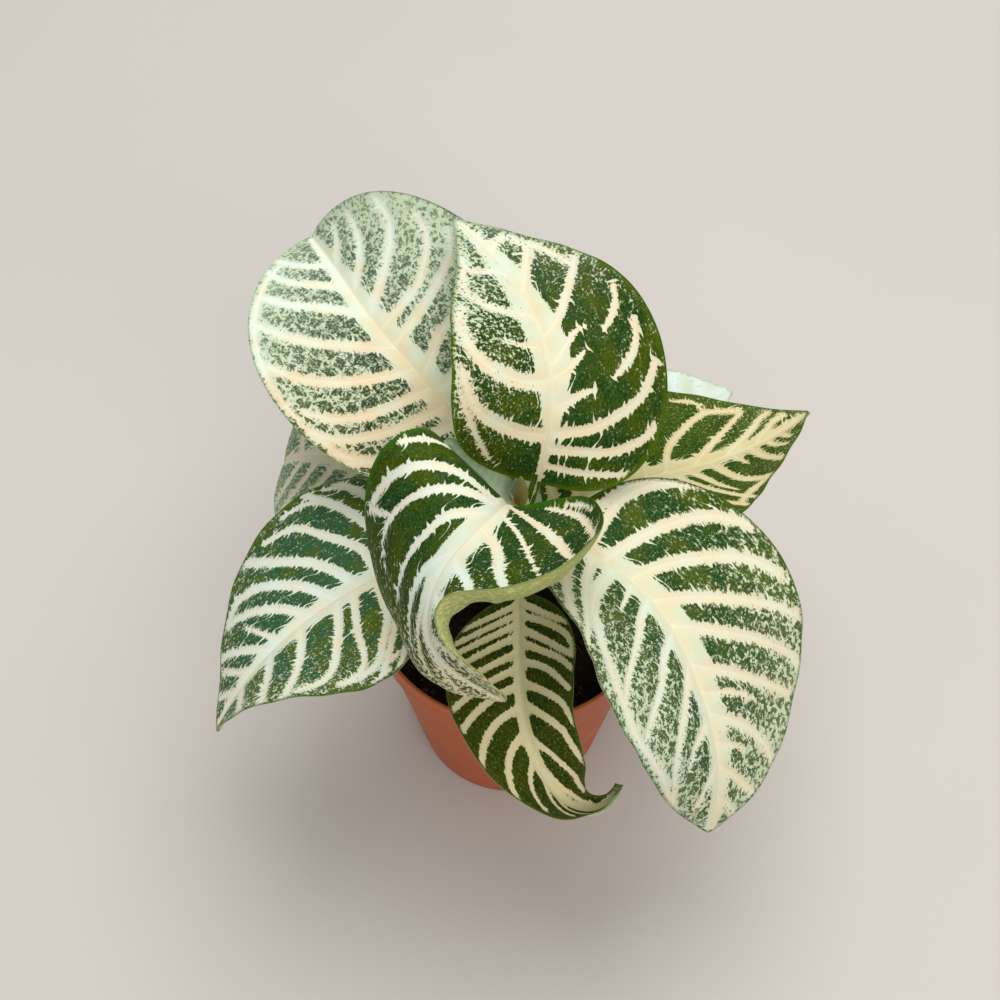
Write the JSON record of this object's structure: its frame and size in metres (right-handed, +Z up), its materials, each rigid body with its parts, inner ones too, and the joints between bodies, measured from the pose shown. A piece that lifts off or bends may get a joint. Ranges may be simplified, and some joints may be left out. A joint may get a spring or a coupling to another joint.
{
  "type": "potted zebra plant",
  "caption": "Young potted house plant with broad green leaves striped in cream along the veins, in a round tapered plastic nursery pot.",
  "frame": {"origin": "centre of the pot's flat base, on the surface that it stands on", "axes": "+Z up along the pot's axis and the stem; -Y towards the front, where the curled leaf and the narrow low leaf hang over the rim; +X to the right seen from the front"},
  "size_m": [0.1774, 0.1706, 0.1682],
  "materials": {
    "pot_plastic": "satin",
    "potting_soil": "matte",
    "green_stem": "satin",
    "bud_skin": "satin",
    "young_blade": "satin",
    "leaf_blade": "satin"
  },
  "bodies": {
    "root": {"pot": "pot_plastic", "soil": "potting_soil", "stem": "green_stem", "bud": "bud_skin", "young_leaf": "young_blade", "leaf_back": "leaf_blade", "leaf_front_curled": "leaf_blade", "leaf_back_left": "leaf_blade", "leaf_front_right": "leaf_blade", "leaf_right": "leaf_blade", "leaf_left": "leaf_blade", "leaf_front_low": "leaf_blade", "leaf_left_low": "leaf_blade", "leaf_right_low": "leaf_blade"}
  },
  "joints": []
}
